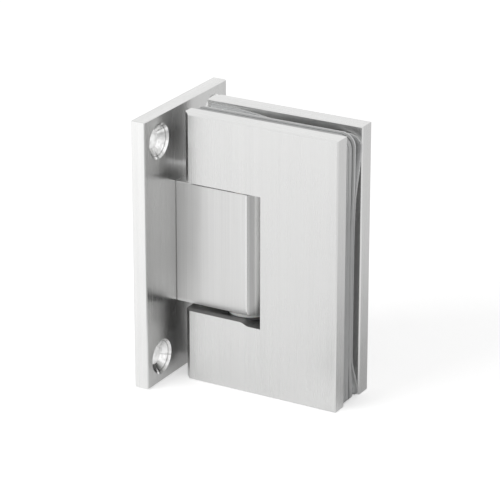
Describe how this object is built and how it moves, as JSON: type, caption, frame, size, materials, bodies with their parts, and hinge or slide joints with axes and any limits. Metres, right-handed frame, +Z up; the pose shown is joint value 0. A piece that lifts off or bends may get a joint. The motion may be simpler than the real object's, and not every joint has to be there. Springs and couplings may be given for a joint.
{
  "type": "glass door hinge",
  "caption": "Wall-to-glass shower door hinge: full wall plate with countersunk holes, pivot block and a pair of notched clamp plates that swing about a vertical pin.",
  "frame": {"origin": "centre of the wall plate's back face, which lies on the wall", "axes": "+X out from the wall along the glass, +Y through the glass towards the screw side, +Z up along the pivot pin"},
  "size_m": [0.065, 0.05, 0.09],
  "materials": {
    "brushed_steel": "vertical brushed satin",
    "screw_steel": "bright machined steel",
    "pin_steel": "ground steel",
    "spring_steel": "rolled spring steel",
    "nylon": "matte moulded nylon",
    "gasket": "clear grey soft vinyl sheet"
  },
  "bodies": {
    "wall_side": {"wall_plate": "brushed_steel", "pivot_block": "brushed_steel", "block_screw_upper": "screw_steel", "block_screw_lower": "screw_steel", "bush_upper": "nylon", "bush_lower": "nylon", "leaf_spring_1": "spring_steel", "leaf_spring_2": "spring_steel", "leaf_spring_3": "spring_steel", "spring_keeper": "screw_steel"},
    "glass_side": {"pivot_pin": "pin_steel", "thrust_washer_upper": "nylon", "thrust_washer_lower": "nylon", "front_clamp_plate": "brushed_steel", "rear_clamp_plate": "brushed_steel", "pin_screw_upper": "screw_steel", "pin_screw_lower": "screw_steel", "clamp_screw_upper_near": "screw_steel", "clamp_screw_lower_near": "screw_steel", "clamp_screw_upper_far": "screw_steel", "clamp_screw_lower_far": "screw_steel", "gasket_front_thin": "gasket", "gasket_front_thick": "gasket", "gasket_rear_thick": "gasket", "gasket_rear_thin": "gasket"}
  },
  "joints": [
    {"name": "door_swing", "type": "hinge", "parent": "wall_side", "child": "glass_side", "pos_m": [0.0282, 0, 0], "axis": [0, 0, 1], "range_deg": [-90, 90], "deforming": ["leaf_spring_1", "leaf_spring_2", "leaf_spring_3"]}
  ]
}
